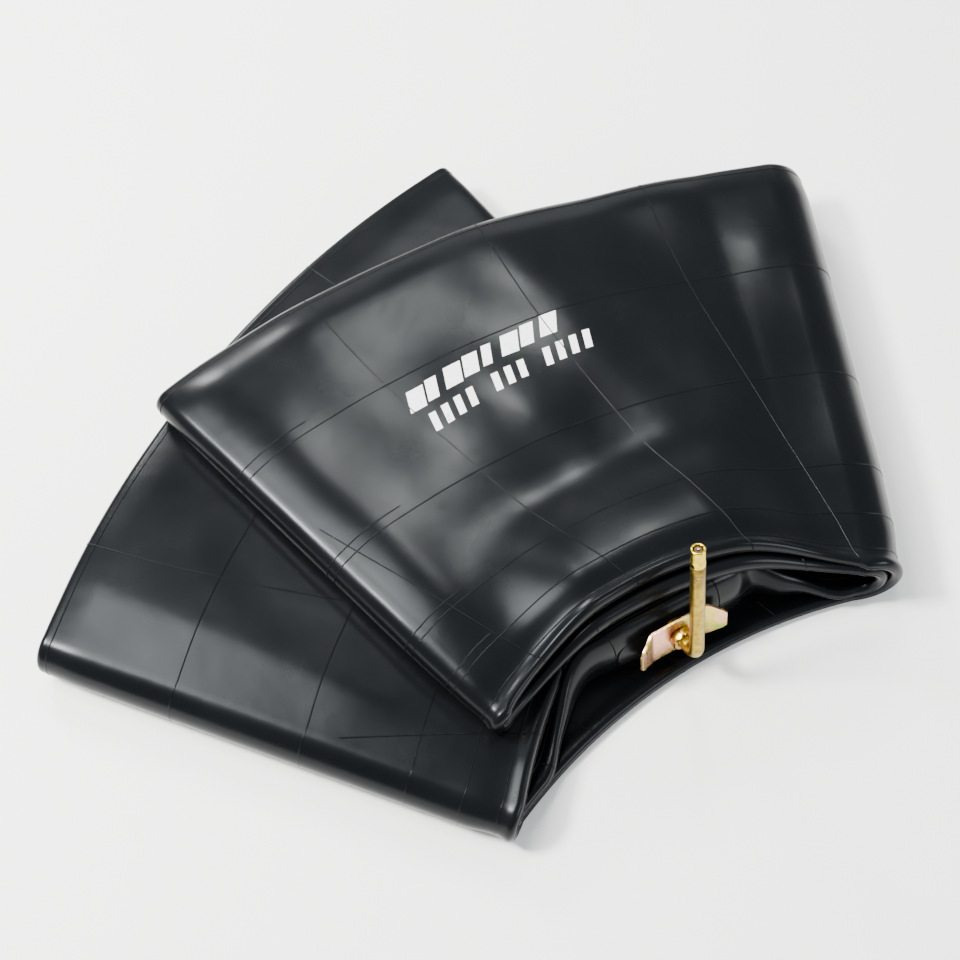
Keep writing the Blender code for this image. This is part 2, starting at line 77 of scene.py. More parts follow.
# Soft shape of the rubber.
VALLEY = 1.5  # dip of the outer skin behind its rolled inner edge
VALLEY_FULL = 5.0  # it is full this far behind the roll,
VALLEY_FADE = (7.0, 24.0)  # and gone between these distances
NECK_RUN = 9.0  # a thin layer is down to its body this far behind the roll
LIP = 3.0  # half thickness of the outer edge
PUFF_TOP = 8.0  # lift of the top pair's skin by the air in it
PUFF_MID = 1.5  # and in the middle pair
ROUNDING = 25.0  # run of the skin down to its outer edge
INNER_PUFF = 0.25  # share of that lift near the inner edge
INNER_RUN = (10.0, 75.0)  # it grows to all of it over this run
INNER_START = (6.0, 26.0)  # it begins behind the roll
SWELLS = (  # soft lumps of the top skin: x, y, radius and height
    (15.0, 118.0, 38.0, 2.8),
    (-5.0, 42.0, 26.0, 1.1),
    (36.0, 20.0, 36.0, 2.6),
    (190.0, 147.0, 24.0, 5.2),
    (196.0, 60.0, 46.0, 2.4),
    (-60.0, 60.0, 40.0, -1.2),
)
SWELL_EDGES = (40.0, 50.0)  # their fade at the inner and the outer edge
RIPPLES = (  # slow waves of the lying rubber: height, rates along x and y, phase
    (0.55, 0.031, 0.043, 0.6),
    (0.42, 0.052, -0.034, 2.1),
    (0.22, 0.083, 0.071, 4.0),
)
END_PUFF = 0.5  # share of the top pair's lift left at its closed end
END_RUN = 34.0  # run over which it falls
RIGHT_PUFF = 0.5  # and at the right fold
RIGHT_RUN = 80.0
TOP_SPAN = 42.0  # the top pair spans about this many degrees
TOP_PULL = (10.0, 18.0)  # its lower and its upper inner edge stand back between the ends
END_START = 0.62  # from this share of its length its closed end lifts,
END_LIFT = 2.5  # by this much in the upper layer,
END_TILT = 5.0  # this much more at the inner edge,
LOW_END_LIFT = 1.0  # and this much in the lower layer
ARCH = 17.0  # rise of the top pair over the valve wall
ARCH_MORE = (0.6, 2.0)  # and more in its lower and its upper layer
ARCH_BEAD = 2.4  # extra thickness of its rolled edges there
ARCH_ALONG = (38.0, 100.0)  # whole to the first distance beside the valve, gone at the second
ARCH_BACK = (20.0, 105.0)  # and behind it
SAG = 5.0  # the top pair sinks where the middle pair ends under it
SAG_START = (0.0, -25.0)  # its lower and its upper layer, from this far past that end
SAG_FULL = 60.0
MID_COVERED = (-45.0, -5.0)  # the middle pair is flat under the top pair, and rises over this run
MID_ROLL = 12.0  # run of its skin down to its inner edge
MID_RIPPLE = 0.6  # share of the slow waves in it
CREST = 1.5  # its skin stands highest
CREST_AT = 80.0  # this far out from under the top pair
CREST_WIDE = 75.0

# Wall that the valve's layer raises. Directions are degrees from its middle.
SEAT_HALF = 20.0  # half height of the wall
SEAT_TILT = 10.0
SIDE_TILT = 36.0  # lean of the wall beside the valve
SIDE_SPAN = (6.5, 12.0)  # it leans over between these directions
BULL = 8.0  # depth of the rounded face of the wall
PATCH_PROUD = 1.8
WALL_MIDDLE = 123.85  # direction of the wall's middle from the strip's centre
WALL_REACH = (17.0, 16.5)  # the wall ends at these directions to the left and the right
WALL_FULL = 4.0  # it has its full height up to this one,
WALL_FLAT = 7.2  # and is flat up to this one
WALL_DEPTH = (43.0, 20.0)  # the wall thins into its layer over this depth, at its middle and on its left
WALL_THINS = (3.0, 14.0)  # and changes between these directions
WALL_BACK = 80.0  # behind this depth the layer is a plain one
LEAN_FADE = 30.0  # and behind this one it no longer leans,
SPILL_FADE = 60.0  # nor stands further in
PLEAT_DEPTH = 3.2
PLEAT_FADE = 40.0
PLEATS = (  # loose folds of the wall: height, direction and width
    (1.2, 11.5, 2.4),
    (-0.4, 7.6, 1.4),
    (1.0, -11.0, 1.6),
    (-0.9, -8.4, 1.2),
    (0.6, -15.5, 2.2),
)

# Mould lines, by distance across the strip and by direction from a pair's centre.
RIB = 0.42  # radius of a mould line
RIB_SUNK = 0.25  # share of it that is sunk into the skin
RIB_TURNS = (-20.0, 20.0, 55.0, 90.0, 125.0, 160.0, 200.0)  # round its section, foot to foot
EDGE_RIB = 0.7  # radius of the lines on the two edges, as a share
RING_LINES = (11.0, 31.0, 61.0, 121.0, 196.0, 270.0)
PAIRED_LINES = (  # second lines at the top pair's closed end: distance, rows before and after
    (36.0, 10, 14),
    (66.0, 12, 16),
    (127.0, 14, 20),
    (202.5, 12, 18),
)
CROSS_LEAN = 7.5  # lean of the lines across the strip, at its inner edge
CROSS_BACK = 45.0  # they run on along the far face
TOP_CROSS = (82.9, 93.3, 103.8, 113.9, 124.7, 135.2)
MID_CROSS = (138.6, 149.0, 159.4, 169.6, 180.0)
CROSS_STEP = 10.4  # spacing of the hidden ones, given by their first and their count
TOP_LOW_CROSS = (88.0, 5)
VALVE_CROSS = (106.0, 5)
BOTTOM_CROSS = (111.0, 4)
TOP_STEPS = 96  # rows along the top pair's upper layer

# Print on the top skin: directions from the top pair's centre, distances across the strip.
PRINT_LEFT = 123.6
BLOCKS = (1.2, 0.8, 1.2, 1.05, 0.65, 1.2, 0.9, 1.15)  # widths of the bold blocks
BLOCK_STEP = 1.43
BLOCK_ROWS = (172.0, 185.5)
BLOCK_RISE = 1.4
BLOCK_SLANT = 0.55
BARS = 13
BAR_GAPS = (4, 8)  # bars left out
BAR_WIDE = 0.5
BAR_STEP = 0.98
BAR_ROWS = (154.5, 166.5)
BAR_RISE = 0.9
BAR_SLANT = 0.25
INK_PROUD = 0.12

# Valve.
STEM_R = 4.05
NECK_R = 3.85
BORE_R = 2.1
BORE_DEEP = 30.0  # depth of the stem's bore, past the core
MOUTH_R = 3.875
MOUTH_LENGTH = 12.0
JOINT_GAP = 0.3  # the stem ends this far below it
CORNER_AT = 18.6
BEND_R = 8.5
THREAD_PITCH = 0.794
NECK_THREAD = (1.5, 8.9, 0.32)  # from, to and depth
MOUTH_THREAD = (-8.6, -0.7, 0.13)
PLATE = (35.0, 28.0, 1.6)
PLATE_LIFT = 0.3
PLATE_BEND_R = 2.4
PLATE_SMOOTH = 40.0  # steepest edge that is shaded smooth
BEVEL = 0.28  # rounding of its edges,
BEVEL_OVER = 50.0  # where they turn by more
CLEAR = 0.3  # between the plate and the neck
FLAP = (12.0, 17.0, 30.0)  # length, end width and bend of the plate's ends
NUT_FLATS = 12.7
NUT_THICK = 5.0
NUT_AT = 2.2
PAD = (37.0, 14.0)  # half sizes of the pad round the valve base
PAD_BACK = -6.0
SPRING_SPAN = (-14.7, -11.05)  # ends of the core's spring, below the mouth
SPRING_R = 0.95
SPRING_WIRE_R = 0.12

# Floor, lights and camera, in metres.
FLOOR_HALF = 6.0
WARM = (1.0, 0.98, 0.94)
WARMER = (1.0, 0.98, 0.93)
SKY = (0.91, 0.96, 1.0, 1.0)
SKY_STRENGTH = 0.8
CAMERA_AT = Vector((0.003272, -0.462318, 0.8616))
CAMERA_TARGET = Vector((0.003272, -0.011318, 0.030))
SENSOR = 36.0
LENS = 61.515


def joint(name):
    return next(j for j in frame["joints"] if j["name"] == name)


def lerp(a, b, t):
    return a + (b - a) * t


def smooth(x, low, high):
    t = min(1.0, max(0.0, (x - low) / (high - low)))
    return t * t * (3.0 - 2.0 * t)


def polar(centre, radius, degrees):
    turn = math.radians(degrees)
    return Vector((centre[0] + radius * math.cos(turn), centre[1] + radius * math.sin(turn)))


def mirror(point, line):
    """Plan point mirrored about a line."""
    along = (line[1] - line[0]).normalized()
    rel = point - line[0]
    return line[0] + 2.0 * along * rel.dot(along) - rel


def outward(line, heart):
    """Plan direction square to a line, away from a point."""
    along = (line[1] - line[0]).normalized()
    side = Vector((along.y, -along.x))
    if side.dot(lerp(line[0], line[1], 0.5) - heart) < 0:
        side = -side
    return side


def fold_line(centre, radius, angles):
    return (polar(centre, radius, angles[0]), polar(centre, R_INNER + WIDTH, angles[1]))


# The record places the right fold's axis, which ties this layout to the frame.
FOLD_START = fold_line(CENTRE, R_INNER - TUCK, RIGHT_ANGLES)[0]
SHIFT = Vector(joint("top_fold_open")["pos_m"][:2]) / MM - FOLD_START
SHIFT_3D = SHIFT.to_3d()
SEAT = Vector(joint("nut_turn")["pos_m"]) / MM - SHIFT_3D
SEAT_OUT = Vector(joint("nut_turn")["axis"]).normalized()
TIP = Vector(joint("core_turn")["pos_m"]) / MM - SHIFT_3D
TIP_UP = Vector(joint("core_turn")["axis"]).normalized()
SEAT_AZIMUTH = math.atan2(SEAT_OUT.y, SEAT_OUT.x)


class Layout:
    """Plan of the three pairs of layers and their folds."""

    def __init__(self):
        self.low = CENTRE
        right = fold_line(self.low, R_INNER - TUCK, RIGHT_ANGLES)
        front = fold_line(self.low, R_INNER, FRONT_ANGLES)
        self.top = mirror(self.low, right)
        self.mid = mirror(self.low, front)
        top_end = fold_line(self.top, R_INNER - TUCK, (TOP_END_ANGLE, TOP_END_ANGLE))
        low_end = fold_line(self.mid, R_INNER, (LOW_END_ANGLE, LOW_END_ANGLE))
        self.right_side = outward(right, STACK_HEART)
        self.front_side = outward(front, STACK_HEART)
        self.top_end_side = outward(top_end, STACK_HEART)
        self.low_end_side = outward(low_end, MID_HEART)
        self.right = self.inset(right, self.right_side, (Z_TOP_HIGH - Z_BOTTOM) / 2 + BEAD + RIGHT_GAP)
        self.front = self.inset(front, self.front_side, (Z_MID_HIGH - Z_BOTTOM) / 2 + BEAD)
        self.top_end = self.inset(top_end, self.top_end_side, PITCH / 2 + BEAD + TOP_END_ROOM)
        self.low_end = self.inset(low_end, self.low_end_side, PITCH / 2 + BEAD)

    @staticmethod
    def inset(line, side, distance):
        return (line[0] - side * distance, line[1] - side * distance)


LAYOUT = Layout()


def spread(count):
    """Distances across the strip, closer near both edges."""
    near = [0.0, 0.25, 0.9, 1.9, 3.1, 4.4, 6.0, 8.0, 10.5, 13.5, 17.0, 21.0, 26.0, 32.0, 39.0, 47.0]
    inner = [lerp(near[-1], WIDTH - near[-1], i / count) for i in range(1, count)]
    return near + inner + [WIDTH - w for w in reversed(near)]


ACROSS = spread(26)


def roll(w, bead):
    """Half thickness of a rolled edge before it meets the body."""
    if w < bead:
        return math.sqrt(max(bead * bead - (bead - w) ** 2, 0.0))
    return bead


def thin_half(w, bead=BEAD):
    """Half thickness of a layer that thins behind its rolled edge."""
    edge = min(w, WIDTH - w)
    if w > WIDTH / 2:
        bead = LIP
    if edge < bead:
        return roll(edge, bead)
    return lerp(bead, BODY, smooth(edge, bead * 0.9, bead + NECK_RUN))


def full_half(w, bead=BEAD):
    """Half thickness of a skin that dips behind its rolled inner edge."""
    if w < WIDTH / 2:
        start, stop = VALLEY_FADE
        dip = smooth(w, bead * 0.8, bead + VALLEY_FULL) * (1.0 - smooth(w, bead + start, bead + stop))
        return roll(w, bead) - VALLEY * dip
    edge = WIDTH - w
    return lerp(roll(edge, LIP), BEAD, smooth(edge, LIP, ROUNDING))


def pleat(offset):
    """Depth of the wall's loose folds at a direction, in PLEAT_DEPTH."""
    return sum(rise * math.exp(-((offset - at) / wide) ** 2) for rise, at, wide in PLEATS)


def arch(point):
    """0 to 1, a plan point's share of the arch over the wall."""
    out = Vector((-math.cos(SEAT_AZIMUTH), -math.sin(SEAT_AZIMUTH)))
    along = Vector((-out.y, out.x))
    rel = point - SEAT.xy
    across = abs(rel.dot(along))
    return (1.0 - smooth(across, *ARCH_ALONG)) * (1.0 - smooth(rel.dot(out), *ARCH_BACK))


def ripple(x, y):
    return sum(rise * math.sin(along * x + across * y + phase) for rise, along, across, phase in RIPPLES)


def past_low_end(point):
    """Signed distance beyond the closed end of the middle pair."""
    return (point - LAYOUT.low_end[0]).dot(LAYOUT.low_end_side)


def rounded(x, distance):
    """0 at an edge, 1 a distance in, round like a quarter of an ellipse."""
    rest = 1.0 - min(max(x, 0.0) / distance, 1.0)
    return math.sqrt(1.0 - rest * rest)


def swell(x, y):
    """Height of the top skin's soft lumps at a point of the frame."""
    height = 0.0
    for cx, cy, size, rise in SWELLS:
        height += rise * math.exp(-((x - cx) ** 2 + (y - cy) ** 2) / size ** 2)
    return height


def plan(centre, start, end, u, w):
    """Direction and radius of a panel's point, u along it and w across it."""
    v = w / WIDTH
    a = lerp(start[0], start[1], v) - centre
    b = lerp(end[0], end[1], v) - centre
    turn = lerp(math.atan2(a.y, a.x), math.atan2(b.y, b.x), u)
    return turn, lerp(a.length, b.length, u)


def share_at(ends, degrees, w):
    """How far along a panel a direction lies, at a distance across the strip."""
    first = plan(*ends, 0.0, w)[0]
    last = plan(*ends, 1.0, w)[0]
    return (math.radians(degrees) - first) / (last - first)


UP = Vector((0.0, 0.0, 1.0))
TOP_ENDS = (LAYOUT.top, LAYOUT.right, LAYOUT.top_end)
MID_ENDS = (LAYOUT.mid, LAYOUT.front, LAYOUT.low_end)
VALVE_ENDS = (LAYOUT.low, LAYOUT.front, LAYOUT.right)
BOTTOM_ENDS = (LAYOUT.low, LAYOUT.right, LAYOUT.front)


def top_puff(u, w, radius):
    """0 to 1, share of PUFF_TOP at a point of the top skin."""
    across = lerp(INNER_PUFF, 1.0, smooth(w, *INNER_RUN)) * smooth(w, *INNER_START)
    across *= rounded(WIDTH - w, ROUNDING)
    length = radius * math.radians(TOP_SPAN)
    near_end = max(0.0, 1.0 - (1.0 - u) * length / END_RUN)
    left = 1.0 - (1.0 - END_PUFF) * near_end ** 2
    right = lerp(RIGHT_PUFF, 1.0, smooth(u * length, 0.0, RIGHT_RUN))
    return across * (left * right)


def top_panel(u, w, high):
    """Point of the top pair: its upper layer if high, else its lower one."""
    turn, radius = plan(*TOP_ENDS, u, w)
    inner = 1.0 - w / WIDTH
    radius += TOP_PULL[high] * math.sin(math.pi * min(max(u, 0.0), 1.0)) ** 0.7 * inner ** 6
    flat = LAYOUT.top + Vector((math.cos(turn), math.sin(turn))) * radius
    hump = arch(flat)
    end = smooth(u, END_START, 1.0)
    ends = 4.0 * u * (1.0 - u)
    sunk = smooth(past_low_end(flat), SAG_START[high], SAG_FULL)
    sag = SAG * sunk * min(1.0, 2.5 * ends) * (1.0 - hump)
    lift = (ARCH + ARCH_MORE[high]) * hump
    bead = BEAD + ARCH_BEAD * hump
    if not high:
        z = Z_TOP_LOW + lift + end * LOW_END_LIFT - sag
        return Vector((*flat, z)), -UP, thin_half(w, bead), thin_half(w, bead)
    calm = min(1.0, 3.0 * ends)
    z = Z_TOP_HIGH + lift + end * (END_LIFT + END_TILT * inner) - sag + ripple(*flat) * calm
    lump = swell(*(flat + SHIFT)) * calm
    lump *= rounded(w, SWELL_EDGES[0]) * rounded(WIDTH - w, SWELL_EDGES[1])
    rise = PUFF_TOP * top_puff(u, w, radius) + lump
    return Vector((*flat, z)), UP, full_half(w, bead) + rise, thin_half(w, bead)


def bottom_panel(u, w):
    """Point of the lowest layer."""
    turn, radius = plan(*BOTTOM_ENDS, u, w)
    flat = LAYOUT.low + Vector((math.cos(turn), math.sin(turn))) * radius
    return Vector((*flat, Z_BOTTOM)), -UP, full_half(w), thin_half(w)


def mid_panel(u, w, high):
    """Point of the middle pair: its upper layer if high, else its lower one."""
    turn, radius = plan(*MID_ENDS, u, w)
    flat = LAYOUT.mid + Vector((math.cos(turn), math.sin(turn))) * radius
    if not high:
        return Vector((*flat, Z_MID_LOW)), -UP, thin_half(w), thin_half(w)
    beyond = (flat - LAYOUT.top_end[0]).dot(LAYOUT.top_end_side)
    free = min(1.0, 12.0 * u * (1.0 - u)) * smooth(beyond, *MID_COVERED)
    puff = rounded(w, MID_ROLL) * rounded(WIDTH - w, ROUNDING) * free
    z = Z_MID_HIGH + MID_RIPPLE * ripple(flat.x + 90.0, flat.y) * free
    crest = CREST * math.exp(-((beyond - CREST_AT) / CREST_WIDE) ** 2) * smooth(w, 0.0, 60.0)
    return Vector((*flat, z)), UP, full_half(w) + (PUFF_MID + crest) * puff, thin_half(w)


def seat_half(w, depth):
    """Half height of the valve wall at a depth behind its rounded face."""
    if w < BULL:
        return SEAT_HALF * math.sqrt(1.0 - (1.0 - w / BULL) ** 2)
    return lerp(SEAT_HALF, BODY, smooth(w, BULL + 2.0, depth))


def valve_panel(u, w):
    """Point of the layer whose inner edge stands up as the wall behind the valve."""
    inward = Vector((math.cos(SEAT_AZIMUTH), math.sin(SEAT_AZIMUTH)))
    turn, radius = plan(*VALVE_ENDS, u, w)
    offset = math.degrees(turn) - WALL_MIDDLE
    reach = WALL_REACH[0] if offset > 0 else WALL_REACH[1]
    flat_part = 1.0 - smooth(abs(offset), WALL_FLAT, reach + 1.0)
    tall = 1.0 - smooth(abs(offset), WALL_FULL, reach)
    face = (LAYOUT.low - SEAT.xy).dot(inward) + PATCH_PROUD
    wall = face / math.cos(turn - SEAT_AZIMUTH - math.pi)
    radius += (wall - R_INNER) * flat_part * (1.0 - w / WIDTH) ** 4
    radius -= PLEAT_DEPTH * pleat(offset) * (1.0 - smooth(w, 0.0, PLEAT_FADE))
    depth = lerp(*WALL_DEPTH, smooth(offset, *WALL_THINS))
    raised = max(seat_half(max(w, BULL), depth) - BEAD, 0.0) * tall
    half = thin_half(w)
    if w < WALL_BACK:
        half = lerp(half, seat_half(w, depth), tall)
    away = Vector((math.cos(turn), math.sin(turn)))
    lean = lerp(SEAT_TILT, SIDE_TILT, smooth(abs(offset), *SIDE_SPAN))
    tilt = math.radians(lean) * tall * (1.0 - smooth(w, BULL, LEAN_FADE))
    spill = math.sin(math.radians(lean)) - math.sin(math.radians(SEAT_TILT))
    radius += SEAT_HALF * tall * spill * (1.0 - smooth(w, BULL, SPILL_FADE))
    flat = LAYOUT.low + away * radius
    up = Vector((*(away * math.sin(tilt)), math.cos(tilt)))
    return Vector((*flat, Z_VALVE + raised)), up, half, half


def sweep(count, first=0.0, last=1.0):
    return [lerp(first, last, i / count) for i in range(count + 1)]


def cross_row(panel, u, *high):
    """One row across a panel: a function of the distance across the strip."""
    return lambda w: panel(u, w, *high)


def panel_rows(panel, places, *high):
    return [cross_row(panel, u, *high) for u in places]


def bend_rows(low_end, high_end, side, angles, flip=1, full_low=1.0):
    """Rows of a fold that swings from the low layer to the high one, at angles in degrees.

    flip is -1 for a fold's inner bend. full_low is 0 where the low layer's skin is thin.
    """
    full_high = max(flip, 0)

    def swing(turn, w):
        low = low_end(w)[0]
        high, _, half, _ = high_end(w)
        angle = math.radians(turn)
        share = (math.sin(angle) + 1.0) / 2
        centre = lerp(low, high, share)
        centre.z = (low.z + high.z) / 2
        ray = Vector((*side, 0.0)) * math.cos(angle) + UP * math.sin(angle)
        outer = lerp(thin_half(w), full_half(w), lerp(full_low, full_high, share))
        outer += (half - full_half(w)) * full_high * (turn + 90.0) / 180.0
        return centre + ray * ((high.z - low.z) / 2), ray * flip, outer, thin_half(w)
    return panel_rows(swing, angles)


def top_rows():
    """Upper layer, closed end and lower layer of the top pair."""
    closed = bend_rows(cross_row(top_panel, 1.0, False), cross_row(top_panel, 1.0, True),
                       LAYOUT.top_end_side, sweep(16, 90.0, -90.0)[1:-1], full_low=0.0)
    return (panel_rows(top_panel, sweep(TOP_STEPS), True) + closed
            + panel_rows(top_panel, sweep(60, 1.0, 0.0), False))


def lower_rows():
    """Bottom layer, round the front fold, middle pair, and back to the valve's layer."""
    outer = bend_rows(cross_row(bottom_panel, 1.0), cross_row(mid_panel, 0.0, True),
                      LAYOUT.front_side, sweep(16, -90.0, 90.0)[1:-1])
    closed = bend_rows(cross_row(mid_panel, 1.0, False), cross_row(mid_panel, 1.0, True),
                       LAYOUT.low_end_side, sweep(12, 90.0, -90.0)[1:-1], full_low=0.0)
    inner = bend_rows(cross_row(valve_panel, 0.0), cross_row(mid_panel, 0.0, False),
                      LAYOUT.front_side, sweep(12, 90.0, -90.0)[1:-1], -1, 0.0)
    return (panel_rows(bottom_panel, sweep(40)) + outer
            + panel_rows(mid_panel, sweep(80), True) + closed
            + panel_rows(mid_panel, sweep(40, 1.0, 0.0), False) + inner
            + panel_rows(valve_panel, sweep(110)))


def on_skin(row, w, face):
    """Point and outward direction on a cross row's outer face (1) or inner face (-1)."""
    mid, up, half, under = row(w)
    rise = half if face > 0 else under
    point = mid + up * face * rise
    edge = min(w, WIDTH - w)
    if edge >= BEAD:
        return point, up * face
    core = row(BEAD if w < WIDTH / 2 else WIDTH - BEAD)[0]
    return point, (point - core).normalized()


def ring_lines(skin, rows):
    """Mould lines that run along the strip."""
    for w in RING_LINES:
        skin.add_rib([on_skin(row, w, 1) for row in rows])
    for w in (0.0, WIDTH):
        skin.add_rib([on_skin(row, w, 1) for row in rows], RIB * EDGE_RIB)


def cross_line(skin, degrees, ends, panel, *high):
    """One mould line across a panel, over its inner edge and a little way along the far face."""
    runs = [[]]
    steps = [(w, 1) for w in ACROSS[::-1] if w > 0.0] + [(w, -1) for w in ACROSS if w < CROSS_BACK]
    for w, face in steps:
        lean = CROSS_LEAN * (1.0 - w / WIDTH) ** 2
        u = share_at(ends, degrees - lean, w)
        if 0.0 <= u <= 1.0:
            runs[-1].append(on_skin(cross_row(panel, u, *high), w, face))
        elif runs[-1]:
            runs.append([])
    for path in runs:
        if len(path) > 4:
            skin.add_rib(path)


def evenly(first, count):
    return [first + CROSS_STEP * i for i in range(count)]


def top_cross_lines(skin):
    for degrees in TOP_CROSS:
        cross_line(skin, degrees, TOP_ENDS, top_panel, True)
    for degrees in evenly(*TOP_LOW_CROSS):
        cross_line(skin, degrees, TOP_ENDS, top_panel, False)


def lower_cross_lines(skin):
    for degrees in MID_CROSS:
        cross_line(skin, degrees, MID_ENDS, mid_panel, True)
    for degrees in evenly(*VALVE_CROSS):
        cross_line(skin, degrees, VALVE_ENDS, valve_panel)
    for degrees in evenly(*BOTTOM_CROSS):
        cross_line(skin, degrees, BOTTOM_ENDS, bottom_panel)


def paired_lines(skin, rows):
    """Short second lines round the closed end of the top pair."""
    edge = TOP_STEPS + 1
    for w, before, after in PAIRED_LINES:
        skin.add_rib([on_skin(row, w, 1) for row in rows[edge - before:edge + after]])


class Skin:
    """Vertices, faces and normals of one rubber piece."""

    def __init__(self):
        self.verts = []
        self.faces = []
        self.normals = []

    def add_grid(self, points, normals, close):
        first = len(self.verts)
        rows, ring = points.shape[:2]
        self.verts += points.reshape(-1, 3).tolist()
        self.normals += normals.reshape(-1, 3).tolist()
        last = ring if close else ring - 1
        for r in range(rows - 1):
            for k in range(last):
                a = first + r * ring + k
                b = first + r * ring + (k + 1) % ring
                self.faces.append((a, b, b + ring, a + ring))

    def add_rib(self, path, radius=RIB):
        """Raised line along (point, outward direction) pairs."""
        points = np.array([p for p, _ in path])
        ups = np.array([n for _, n in path])
        side = np.cross(np.gradient(points, axis=0), ups)
        side /= np.maximum(np.linalg.norm(side, axis=1, keepdims=True), 1e-9)
        grid = []
        normals = []
        for turn in np.radians(RIB_TURNS):
            ray = side * math.cos(turn) + ups * math.sin(turn)
            grid.append(points + (ray - ups * RIB_SUNK) * radius)
            normals.append(ray)
        grid = np.swapaxes(np.array(grid), 0, 1)[:, ::-1]
        normals = np.swapaxes(np.array(normals), 0, 1)[:, ::-1]
        self.add_grid(grid, normals, False)


def ring_points(row):
    """Skin points round one cross row: along the outer side, back along the inner side."""
    there = []
    back = []
    for w in ACROSS:
        mid, up, half, under = row(w)
        there.append(mid + up * half)
        back.append(mid - up * under)
    return there + back[-2:0:-1]


def grid_normals(grid):
    """Smooth outward normals of a grid that closes both ways."""
    ring = np.roll(grid, -1, axis=1) - np.roll(grid, 1, axis=1)
    rows = np.roll(grid, -1, axis=0) - np.roll(grid, 1, axis=0)
    normal = np.cross(ring, rows)
    return normal / np.maximum(np.linalg.norm(normal, axis=2, keepdims=True), 1e-9)


def link(name, mesh, material):
    mesh.materials.append(material)
    obj = bpy.data.objects.new(name, mesh)
    bpy.context.scene.collection.objects.link(obj)
    return obj


def skin_object(name, skin, material):
    points = (np.array(skin.verts) + np.array(SHIFT_3D)) * MM
    mesh = bpy.data.meshes.new(name)
    mesh.from_pydata(points.tolist(), [], skin.faces)
    mesh.update()
    mesh.shade_smooth()
    mesh.normals_split_custom_set_from_vertices(skin.normals)
    return link(name, mesh, material)


def rubber_skins():
    """The closed strip, parted into the pieces that move apart, with shared normals."""
    outer = bend_rows(cross_row(bottom_panel, 0.0), cross_row(top_panel, 0.0, True),
                      LAYOUT.right_side, sweep(24, 90.0, -90.0))
    inner = bend_rows(cross_row(valve_panel, 1.0), cross_row(top_panel, 0.0, False),
                      LAYOUT.right_side, sweep(16, -90.0, 90.0), -1, 0.0)
    order = (("rubber_right_outer", outer), ("rubber_lower_folds", lower_rows()),
             ("rubber_right_inner", inner), ("rubber_top_fold", top_rows()[::-1]))
    rows = []
    spans = {}
    for name, part in order:
        start = len(rows)
        rows += part[:-1]
        spans[name] = (start, len(rows))
    grid = np.array([ring_points(row) for row in rows])
    normals = grid_normals(grid)
    skins = {}
    for name, (start, stop) in spans.items():
        pick = [i % len(rows) for i in range(start, stop + 1)]
        skin = Skin()
        skin.add_grid(grid[pick], normals[pick], True)
        ring_lines(skin, [rows[i] for i in pick])
        skins[name] = skin
    top_cross_lines(skins["rubber_top_fold"])
    paired_lines(skins["rubber_top_fold"], top_rows())
    lower_cross_lines(skins["rubber_lower_folds"])
    return skins


MIX_A, MIX_B, MIX_RESULT = 6, 7, 2  # places of the mix node's colour sockets


